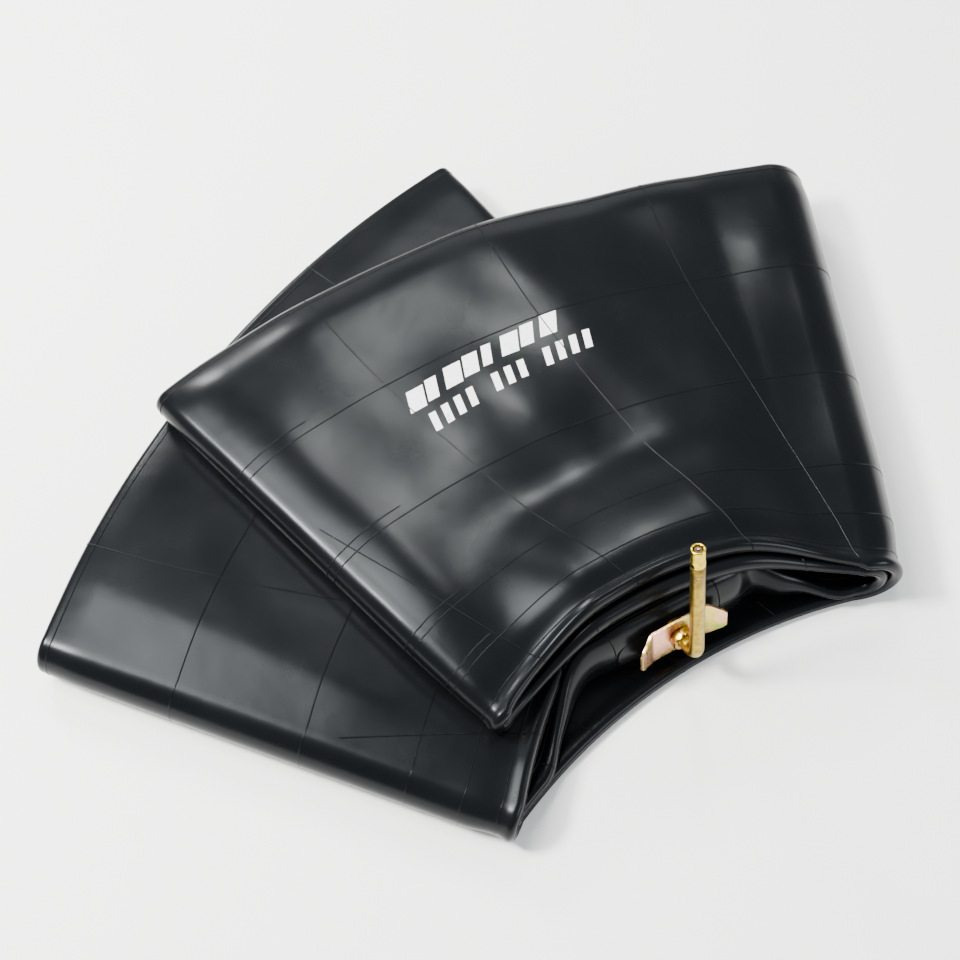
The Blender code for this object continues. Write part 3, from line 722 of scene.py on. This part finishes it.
class Nodes:
    """Small helper that adds shader nodes to one material."""

    def __init__(self, name):
        self.material = bpy.data.materials.new(name)
        self.material.use_nodes = True
        self.tree = self.material.node_tree
        self.shader = self.tree.nodes["Principled BSDF"]
        self.where = self.tree.nodes.new("ShaderNodeTexCoord").outputs["Object"]

    def node(self, kind, **settings):
        made = self.tree.nodes.new("ShaderNode" + kind)
        for key, value in settings.items():
            if hasattr(made, key):
                setattr(made, key, value)
            else:
                made.inputs[key.replace("_", " ")].default_value = value
        return made

    def wire(self, output, target):
        self.tree.links.new(output, target)

    def noise(self, scale, detail=3.0, rough=0.55):
        """Noise in lumps of about 1/scale metres."""
        made = self.node("TexNoise", Scale=scale, Detail=detail, Roughness=rough)
        self.wire(self.where, made.inputs["Vector"])
        return made.outputs["Fac"]

    def range(self, value, low, high, to_low=0.0, to_high=1.0):
        made = self.node("MapRange", clamp=True, From_Min=low, From_Max=high,
                         To_Min=to_low, To_Max=to_high)
        self.wire(value, made.inputs["Value"])
        return made.outputs["Result"]

    def math(self, operation, a, b):
        made = self.node("Math", operation=operation)
        for socket, value in zip(made.inputs, (a, b)):
            if isinstance(value, (int, float)):
                socket.default_value = value
            else:
                self.wire(value, socket)
        return made.outputs["Value"]

    def ramp(self, value, stops):
        made = self.node("ValToRGB")
        band = made.color_ramp
        while len(band.elements) < len(stops):
            band.elements.new(0.5)
        for element, (place, colour) in zip(band.elements, stops):
            element.position = place
            element.color = (*colour, 1.0)
        self.wire(value, made.inputs["Fac"])
        return made.outputs["Color"]

    def bump(self, height, distance, onto=None):
        """Bump of the surface. The last one made is the shader's normal."""
        made = self.node("Bump", Strength=1.0, Distance=distance)
        self.wire(height, made.inputs["Height"])
        if onto:
            self.wire(onto, made.inputs["Normal"])
        self.wire(made.outputs["Normal"], self.shader.inputs["Normal"])
        return made.outputs["Normal"]

    def blend(self, a, b, share):
        """Sum of two values, the first by its share and the second by the rest."""
        return self.math("ADD", self.math("MULTIPLY", a, share), self.math("MULTIPLY", b, 1.0 - share))

    def colour(self, source):
        self.wire(source, self.shader.inputs["Base Color"])

    def roughness(self, value, low, high, to_low, to_high):
        self.wire(self.range(value, low, high, to_low, to_high), self.shader.inputs["Roughness"])

    def mix(self, share, base, over):
        """One colour over another by a share."""
        made = self.node("Mix", data_type="RGBA")
        self.wire(share, made.inputs["Factor"])
        self.wire(base, made.inputs[MIX_A])
        made.inputs[MIX_B].default_value = over
        return made.outputs[MIX_RESULT]

    def set(self, **values):
        for key, value in values.items():
            self.shader.inputs[key.replace("_", " ")].default_value = value

    def along(self, axis, origin):
        """Distance in metres from a point along an axis."""
        shift = self.node("VectorMath", operation="SUBTRACT")
        self.wire(self.where, shift.inputs[0])
        shift.inputs[1].default_value = origin
        dot = self.node("VectorMath", operation="DOT_PRODUCT")
        self.wire(shift.outputs["Vector"], dot.inputs[0])
        dot.inputs[1].default_value = axis
        return dot.outputs["Value"]


def rubber_material(name="black_butyl", tone=1.0, gloss=0.0):
    """Satin black tube rubber: faint bloom, fine grain, slow waves left by the mould."""
    n = Nodes(name)
    mix = n.blend(n.noise(9.0, 4.0, 0.6), n.noise(420.0, 2.0, 0.6), 0.8)
    dark = tuple(c * tone for c in (0.0016, 0.0019, 0.0024))
    pale = tuple(c * tone for c in (0.0027, 0.0031, 0.0037))
    n.colour(n.ramp(mix, [(0.35, dark), (0.68, pale)]))
    haze = n.math("ADD", n.noise(24.0, 2.0, 0.5), n.math("MULTIPLY", n.noise(900.0, 2.0), 0.06))
    n.roughness(haze, 0.3, 0.75, 0.21 - gloss, 0.29 - gloss)
    waves = n.bump(n.noise(30.0, 2.0, 0.4), 0.0004)
    n.bump(n.noise(900.0, 2.0, 0.6), 0.00002, onto=waves)
    n.set(IOR=1.5, Specular_IOR_Level=0.118, Specular_Tint=(0.88, 0.94, 1.0, 1.0))
    return n.material


def metal_material(name, dark, bright, rough):
    """Worked metal: colour and roughness vary in fine grain and slow stains."""
    n = Nodes(name)
    grain = n.noise(900.0, 3.0, 0.6)
    mix = n.blend(n.noise(260.0, 5.0, 0.65), grain, 0.65)
    n.colour(n.ramp(mix, [(0.36, dark), (0.62, bright)]))
    n.roughness(mix, 0.35, 0.7, rough + 0.1, rough)
    n.bump(grain, 0.00003)
    n.set(Metallic=1.0)
    return n.material


def stem_material():
    """Drawn brass, dull and sandy, with dark specks where it was soldered below the mouth."""
    n = Nodes("drawn_brass")
    stain = n.noise(300.0, 5.0, 0.65)
    stops = [(0.3, (0.18, 0.11, 0.010)), (0.55, (0.35, 0.235, 0.016)), (0.75, (0.48, 0.34, 0.028))]
    reach = n.along(TIP_UP, TIP * MM + SHIFT_3D * MM)
    zone = n.math("MULTIPLY", n.range(reach, -0.034, -0.022), n.range(reach, -0.0135, -0.012, 1.0, 0.0))
    speck = n.range(n.noise(1100.0, 3.0, 0.7), 0.43, 0.54)
    n.colour(n.mix(n.math("MULTIPLY", zone, speck), n.ramp(stain, stops), (0.10, 0.055, 0.02, 1.0)))
    n.roughness(stain, 0.3, 0.7, 0.40, 0.28)
    n.bump(n.noise(1500.0, 3.0, 0.7), 0.00005)
    n.set(Metallic=1.0)
    return n.material


def zinc_material():
    """Yellow passivated zinc plate that shifts between straw, pink and green."""
    n = Nodes("yellow_zinc")
    fine = n.noise(600.0, 3.0, 0.6)
    mix = n.blend(n.noise(75.0, 3.0, 0.6), fine, 0.85)
    colours = [(0.32, (0.26, 0.46, 0.07)), (0.43, (0.66, 0.52, 0.08)), (0.52, (0.84, 0.48, 0.26)),
               (0.62, (0.80, 0.37, 0.32)), (0.72, (0.46, 0.54, 0.12))]
    n.colour(n.ramp(mix, colours))
    n.roughness(fine, 0.3, 0.7, 0.24, 0.38)
    n.bump(fine, 0.00004)
    n.set(Metallic=1.0)
    return n.material


def print_material():
    """Worn white ink, greyer in fine specks."""
    n = Nodes("white_ink")
    worn = n.blend(n.noise(700.0, 4.0, 0.7), n.noise(120.0), 0.7)
    n.colour(n.ramp(worn, [(0.34, (0.2, 0.2, 0.21)), (0.43, (0.80, 0.81, 0.82))]))
    n.roughness(worn, 0.3, 0.7, 0.5, 0.62)
    n.bump(worn, 0.00004)
    return n.material


def seal_material():
    """Red rubber of the core's seal."""
    n = Nodes("red_seal")
    n.colour(n.ramp(n.noise(900.0), [(0.3, (0.45, 0.04, 0.02)), (0.7, (0.65, 0.08, 0.04))]))
    n.roughness(n.noise(2000.0), 0.3, 0.7, 0.35, 0.5)
    return n.material


def frame_matrix(x, y, z, origin):
    made = Matrix((x, y, z)).transposed().to_4x4()
    made.translation = origin
    return made


def seat_matrix():
    """Axes of the valve base: x along the wall, y up the wall, z out."""
    flat = Vector((SEAT_OUT.x, SEAT_OUT.y, 0.0)).normalized()
    x = UP.cross(flat)
    return frame_matrix(x, SEAT_OUT.cross(x), SEAT_OUT, SEAT)


def mouth_matrix():
    x = SEAT_OUT.cross(TIP_UP).normalized()
    return frame_matrix(x, TIP_UP.cross(x), TIP_UP, TIP)


def rework(mesh, *steps):
    """Edit a mesh in place, then shade it smooth."""
    work = bmesh.new()
    work.from_mesh(mesh)
    for step in steps:
        step(work)
    work.to_mesh(mesh)
    work.free()
    mesh.shade_smooth()


def face_out(work):
    bmesh.ops.recalc_face_normals(work, faces=work.faces)


def weld(work):
    bmesh.ops.remove_doubles(work, verts=work.verts, dist=0.00002)


def bevel(work):
    """Round the edges that turn by more than a limit."""
    limit = math.radians(BEVEL_OVER)
    edges = [e for e in work.edges if len(e.link_faces) == 2 and e.calc_face_angle() > limit]
    bmesh.ops.bevel(work, geom=edges, offset=BEVEL * MM, segments=3, profile=0.6, affect="EDGES",
                    clamp_overlap=True)


def part_object(name, verts, faces, matrix, material, smooth_angle=35.0):
    """Mesh from millimetre points in a local frame, shaded smooth below an angle."""
    place = [(matrix @ Vector(v) + SHIFT_3D) * MM for v in verts]
    mesh = bpy.data.meshes.new(name)
    mesh.from_pydata(place, [], faces)
    rework(mesh, face_out)
    mesh.set_sharp_from_angle(angle=math.radians(smooth_angle))
    return link(name, mesh, material)


def turns(sides):
    return [2 * math.pi * k / sides for k in range(sides)]


def lathe(outline, sides, radius_at):
    """Points and faces of a closed outline of (radius, height) pairs turned round z."""
    verts = []
    for turn in turns(sides):
        for radius, height in outline:
            r = radius_at(radius, height, turn)
            verts.append((r * math.cos(turn), r * math.sin(turn), height))
    faces = []
    n = len(outline)
    for k in range(sides):
        here = k * n
        there = (k + 1) % sides * n
        for i in range(n):
            j = (i + 1) % n
            faces.append((here + i, there + i, there + j, here + j))
    return verts, faces


def tube_faces(rings, sides):
    """Faces of a tube of rings, with both of its ends closed."""
    faces = []
    for i in range(rings - 1):
        for k in range(sides):
            a = i * sides + k
            b = i * sides + (k + 1) % sides
            faces.append((a, b, b + sides, a + sides))
    faces.append(tuple(range(sides)))
    faces.append(tuple(range((rings - 1) * sides, rings * sides)))
    return faces


def thread(low, high, depth):
    """Helical groove between two heights, as a change of radius."""
    def wave(height, turn):
        if not low < height < high:
            return 0.0
        phase = (height / THREAD_PITCH - turn / (2 * math.pi)) % 1.0
        fade = min(1.0, (height - low) / 0.4, (high - height) / 0.4)
        return -depth * abs(2.0 * phase - 1.0) * fade
    return wave


def stem_piece(material):
    """Stem: threaded neck out of the nut, tight bend, long straight run."""
    corner = SEAT + SEAT_OUT * CORNER_AT
    swing = SEAT_OUT.angle(TIP_UP)
    side = SEAT_OUT.cross(TIP_UP).normalized()
    begin = corner - SEAT_OUT * BEND_R * math.tan(swing / 2)
    pivot = begin + side.cross(SEAT_OUT).normalized() * BEND_R
    top = TIP - TIP_UP * (MOUTH_LENGTH + JOINT_GAP)
    groove = thread(*NECK_THREAD)
    path = []
    for height in sweep(100, -3.0, 9.0):
        path.append((SEAT + SEAT_OUT * height, SEAT_OUT, NECK_R + 0.1, height))
    for turn in sweep(24):
        spin = Matrix.Rotation(swing * turn, 3, side)
        squeeze = 0.12 * math.sin(math.pi * turn)
        path.append((pivot + spin @ (begin - pivot), spin @ SEAT_OUT, STEM_R - squeeze, None))
    bend_end = path[-1][0]
    length = (top - bend_end).length
    for share in (0.05, 0.3, 0.6, 0.9):
        path.append((bend_end + TIP_UP * length * share, TIP_UP, STEM_R, None))
    for down, radius in ((0.35, STEM_R), (0.0, STEM_R - 0.3), (0.0, BORE_R), (BORE_DEEP, BORE_R)):
        path.append((top - TIP_UP * down, TIP_UP, radius, None))
    sides = 40
    verts = []
    for point, ahead, radius, height in path:
        other = ahead.cross(side)
        for turn in turns(sides):
            r = radius + (groove(height, turn) if height is not None else 0.0)
            verts.append(point + (side * math.cos(turn) + other * math.sin(turn)) * r)
    return part_object("stem", verts, tube_faces(len(path), sides), Matrix(), material, 50.0)


def mouth_piece(material):
    """Machined mouth: rounded rim, fine thread, collar soldered over the stem."""
    bottom = -MOUTH_LENGTH - 0.8
    bore = 3.0
    outline = [(2.7, -7.0), (2.7, -0.35), (2.95, 0.0), (MOUTH_R - 0.45, 0.0), (MOUTH_R - 0.1, -0.3)]
    outline += [(MOUTH_R, z) for z in sweep(84, -0.6, -8.6)]
    outline += [(MOUTH_R + 0.12, -9.0), (MOUTH_R + 0.28, -9.4), (MOUTH_R + 0.32, -12.3)]
    outline += [(MOUTH_R + 0.2, bottom), (bore, bottom), (bore, -7.6)]
    groove = thread(*MOUTH_THREAD)

    def radius_at(radius, height, turn):
        return radius + (groove(height, turn) if radius > bore else 0.0)
    return part_object("mouth", *lathe(outline, 48, radius_at), mouth_matrix(), material, 55.0)


def nut_piece(material):
    """Hexagon nut with turned chamfers, a bevelled bore and a small washer face."""
    low = NUT_AT
    high = low + NUT_THICK
    edge = NUT_FLATS / 2
    corner = edge / math.cos(math.pi / 6)
    outline = [(NECK_R + 0.35, low + 0.4), (NECK_R + 0.75, low), (edge - 0.3, low)]
    outline += [(edge + 0.1, low + 0.25), (corner, low + 0.85), (corner, high - 0.85)]
    outline += [(edge - 0.1, high), (NECK_R + 0.8, high), (NECK_R + 0.35, high - 0.45)]

    def radius_at(radius, _, turn):
        part = (turn + math.pi / 6) % (math.pi / 3) - math.pi / 6
        return min(radius, edge / math.cos(part) - 0.16 * smooth(abs(part), 0.44, 0.53))
    return part_object("nut", *lathe(outline, 96, radius_at), seat_matrix(), material, 24.0)


def plate_piece(material):
    """Bridge washer: plate with both ends bent out, tapered and clipped."""
    length, width, thick = PLATE
    flap, end_width, lean = FLAP
    half = length / 2
    total = half + flap
    bend = math.radians(lean)

    def half_width(x):
        if x <= half:
            return width / 2
        share = (x - half) / flap
        clip = 2.6 * smooth(share, 0.80, 1.0)
        return lerp(width / 2, end_width / 2, smooth(share, 0.0, 0.9)) - clip

    def bent(x):
        """Position and lean of the middle line at distance x from the centre."""
        radius = PLATE_BEND_R
        arc = radius * bend
        start = half - arc / 2
        if x < start:
            return x, 0.0, 0.0
        if x < start + arc:
            turn = (x - start) / radius
            return start + radius * math.sin(turn), radius * (1 - math.cos(turn)), turn
        rest = x - start - arc
        return (start + radius * math.sin(bend) + rest * math.cos(bend),
                radius * (1 - math.cos(bend)) + rest * math.sin(bend), bend)
    hole = NECK_R + CLEAR
    columns = sweep(14, -total, -half + 1.6) + sweep(8, -half + 3.0, -hole - 0.8)
    columns += [hole * math.sin(a) for a in np.radians(np.linspace(-90, 90, 17))]
    columns += sweep(8, hole + 0.8, half - 3.0) + sweep(14, half - 1.6, total)
    verts = []
    faces = []
    across = 8
    for x in columns:
        sign = -1.0 if x < 0 else 1.0
        px, pz, turn = bent(abs(x))
        normal = Vector((-math.sin(turn) * sign, 0.0, math.cos(turn)))
        middle = Vector((px * sign, 0.0, pz + PLATE_LIFT + thick / 2))
        inner = math.sqrt(max(hole * hole - x * x, 0.0)) if abs(x) <= hole else 0.0
        for face in (1, -1):
            for flank in (1, -1):
                for i in range(across + 1):
                    y = lerp(inner, half_width(abs(x)), i / across) * flank
                    verts.append(middle + normal * (thick / 2 * face) + Vector((0.0, y, 0.0)))
    step = across + 1
    size = 4 * step
    for c in range(len(columns) - 1):
        for layer in range(4):
            for i in range(across):
                a = c * size + layer * step + i
                faces.append((a, a + 1, a + 1 + size, a + size))
        for flank in (0, 1):
            up = c * size + flank * step
            down = c * size + (2 + flank) * step
            faces.append((up + across, down + across, down + across + size, up + across + size))
            if abs(columns[c]) <= hole + 1e-6 and abs(columns[c + 1]) <= hole + 1e-6:
                faces.append((up, down, down + size, up + size))
    for first in (0, (len(columns) - 1) * size):
        for layer in (0, 1):
            for i in range(across):
                a = first + layer * step + i
                b = first + (layer + 2) * step + i
                faces.append((a, a + 1, b + 1, b))
    obj = part_object("plate", verts, faces, seat_matrix(), material)
    rework(obj.data, weld, face_out)
    rework(obj.data, bevel)
    obj.data.set_sharp_from_angle(angle=math.radians(PLATE_SMOOTH))
    return obj


def patch_piece(material):
    """Vulcanised pad round the valve base, thick in the middle and feathered to its edge."""
    long_half, tall_half = PAD
    rings, sides = 14, 96
    outline = []
    for turn in turns(sides):
        c = math.cos(turn)
        s = math.sin(turn)
        outline.append((math.copysign(abs(c) ** 0.72, c) * long_half,
                        math.copysign(abs(s) ** 0.85, s) * tall_half))
    verts = []
    for share in sweep(rings):
        reach = lerp(0.13, 1.0, share)
        for x, y in outline:
            curve = BULL * (1.0 - math.sqrt(1.0 - (y * reach / SEAT_HALF) ** 2))
            verts.append((x * reach, y * reach, -0.1 - 2.0 * smooth(share, 0.3, 1.0) - curve))
    verts += [(x, y, PAD_BACK) for x, y in outline]
    return part_object("valve_pad", verts, tube_faces(rings + 2, sides), seat_matrix(), material, 50.0)


def spring_piece(material):
    """Coil round the pin, between the barrel floor and the pin's shoulder."""
    rounds, steps, sides = 4, 24, 10
    count = rounds * steps
    verts = []
    for i in range(count + 1):
        angle = 2 * math.pi * i / steps
        ahead = Vector((-math.sin(angle), math.cos(angle), 0.15)).normalized()
        radial = Vector((math.cos(angle), math.sin(angle), 0.0))
        above = ahead.cross(radial)
        centre = radial * SPRING_R + UP * lerp(*SPRING_SPAN, i / count)
        for turn in turns(sides):
            verts.append(centre + (radial * math.cos(turn) + above * math.sin(turn)) * SPRING_WIRE_R)
    return part_object("spring", verts, tube_faces(count + 1, sides), mouth_matrix(), material)


def coil(material):
    """Coil of the core's spring, baked into place; the record's own spring is hidden."""
    piece = spring_piece(material)
    ends = [(mouth_matrix() @ Vector((0.0, 0.0, z)) + SHIFT_3D) * MM for z in SPRING_SPAN]
    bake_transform(piece)
    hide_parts("core_spring")


def main_rubber(material):
    pieces = {name: skin_object(name, skin, material) for name, skin in rubber_skins().items()}
    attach(pieces["rubber_top_fold"], "top_fold")
    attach(pieces["rubber_lower_folds"], "tube_and_stem")
    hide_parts("tube_top_fold")
    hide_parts("tube_lower_folds")
    for name, low, high in (("rubber_right_outer", Z_BOTTOM, Z_TOP_HIGH),
                            ("rubber_right_inner", Z_VALVE, Z_TOP_LOW)):
        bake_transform(pieces[name])


def ink_marks(material):
    """Generic white print on the top skin: bold slanted blocks over short thin bars."""
    skin = Skin()

    def spot(degrees, w):
        mid, up, half, _ = top_panel(share_at(TOP_ENDS, degrees, w), w, True)
        return mid + up * (half + INK_PROUD), up

    def block(left, right, low, high, slant, steps=6):
        rows = []
        for v in sweep(4):
            w = lerp(low, high, v)
            lean = slant * (v - 0.5)
            rows.append([spot(lerp(left, right, k) - lean, w) for k in sweep(steps)])
        points = np.array([[p for p, _ in row] for row in rows])
        normals = np.array([[n for _, n in row] for row in rows])
        skin.add_grid(points, normals, False)
    for k, wide in enumerate(BLOCKS):
        left = PRINT_LEFT - k * BLOCK_STEP
        low, high = (w + BLOCK_RISE * k for w in BLOCK_ROWS)
        block(left, left - wide, low, high, BLOCK_SLANT)
    for k in range(BARS):
        if k in BAR_GAPS:
            continue
        left = PRINT_LEFT - BAR_WIDE - k * BAR_STEP
        low, high = (w + BAR_RISE * k for w in BAR_ROWS)
        block(left, left - BAR_WIDE, low, high, BAR_SLANT, 3)
    obj = skin_object("white_print", skin, material)
    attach(obj, "top_fold")


def place(piece, body, slot, node):
    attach(piece, body)
    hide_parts(node)


def dress(node, material):
    for holder in frame["nodes"][node].material_slots:
        holder.material = material


def valve():
    brass = metal_material("turned_brass", (0.18, 0.09, 0.012), (0.46, 0.26, 0.034), 0.16)
    bright = metal_material("mouth_brass", (0.50, 0.33, 0.015), (0.84, 0.62, 0.045), 0.12)
    steel = metal_material("bright_steel", (0.62, 0.62, 0.63), (0.9, 0.9, 0.9), 0.16)
    place(stem_piece(stem_material()), "tube_and_stem", "brass", "valve_stem")
    place(mouth_piece(bright), "tube_and_stem", "bright_brass", "valve_mouth")
    place(nut_piece(brass), "nut", "bright_brass", "hex_nut")
    place(plate_piece(zinc_material()), "bridge", "zinc_plate", "bridge_washer")
    pad = patch_piece(rubber_material("pad_rubber", 1.25, -0.06))
    place(pad, "tube_and_stem", "patch_rubber", "valve_base_patch")
    dull = metal_material("core_brass", (0.05, 0.03, 0.012), (0.13, 0.08, 0.03), 0.3)
    for node in ("base_insert", "core_barrel", "pin_cup"):
        dress(node, brass)
    dress("core_plug", dull)
    dress("core_pin", steel)
    coil(steel)
    dress("barrel_seal", seal_material())
    dress("cup_gasket", rubber_material("gasket_rubber", 1.6, -0.1))


def floor_piece():
    """Pale paper sheet under the tube."""
    n = Nodes("pale_paper")
    n.colour(n.ramp(n.noise(3.0, 2.0), [(0.3, (0.90, 0.90, 0.90)), (0.7, (0.93, 0.93, 0.93))]))
    n.set(Roughness=0.9, Specular_IOR_Level=0.1)
    corners = [(x * FLOOR_HALF, y * FLOOR_HALF, 0) for x, y in ((-1, -1), (1, -1), (1, 1), (-1, 1))]
    mesh = bpy.data.meshes.new("floor")
    mesh.from_pydata(corners, [], [(0, 1, 2, 3)])
    link("floor", mesh, n.material)


def area_light(name, direction, distance, size, power, colour=(1.0, 1.0, 1.0)):
    """Rectangular lamp in a direction from the tube, aimed at it."""
    light = bpy.data.lights.new(name, "AREA")
    light.shape = "RECTANGLE"
    light.size, light.size_y = size
    light.energy = power
    light.color = colour
    obj = bpy.data.objects.new(name, light)
    aim = Vector(direction).normalized()
    obj.location = aim * distance
    obj.rotation_euler = aim.to_track_quat("Z", "Y").to_euler()
    bpy.context.scene.collection.objects.link(obj)


def lights():
    area_light("key_left", (-0.43, 0.05, 0.90), 1.7, (0.75, 0.6), 38.0, WARM)
    area_light("key_fold", (-0.62, -0.04, 0.78), 1.7, (0.32, 0.24), 74.0, WARMER)
    area_light("soft_back", (0.0, 0.54, 0.84), 1.57, (0.20, 0.26), 10.0, WARMER)
    area_light("back_left", (-0.42, 0.66, 0.56), 1.8, (0.36, 0.3), 30.0, WARM)
    area_light("back_panel", (-0.15, 0.92, 0.36), 2.2, (2.4, 0.6), 9.0)
    area_light("right_front", (0.86, -0.36, 0.40), 2.0, (1.0, 0.5), 22.0)
    world = bpy.data.worlds.new("studio")
    world.use_nodes = True
    sky = world.node_tree.nodes["Background"]
    sky.inputs["Color"].default_value = SKY
    sky.inputs["Strength"].default_value = SKY_STRENGTH
    bpy.context.scene.world = world


def photo_camera():
    data = bpy.data.cameras.new("photo_camera")
    data.sensor_width = SENSOR
    data.lens = LENS
    camera = bpy.data.objects.new("photo_camera", data)
    camera.location = CAMERA_AT
    camera.rotation_euler = (CAMERA_TARGET - CAMERA_AT).to_track_quat("-Z", "Y").to_euler()
    bpy.context.scene.collection.objects.link(camera)
    bpy.context.scene.camera = camera


main_rubber(rubber_material())
ink_marks(print_material())
valve()
floor_piece()
lights()
photo_camera()
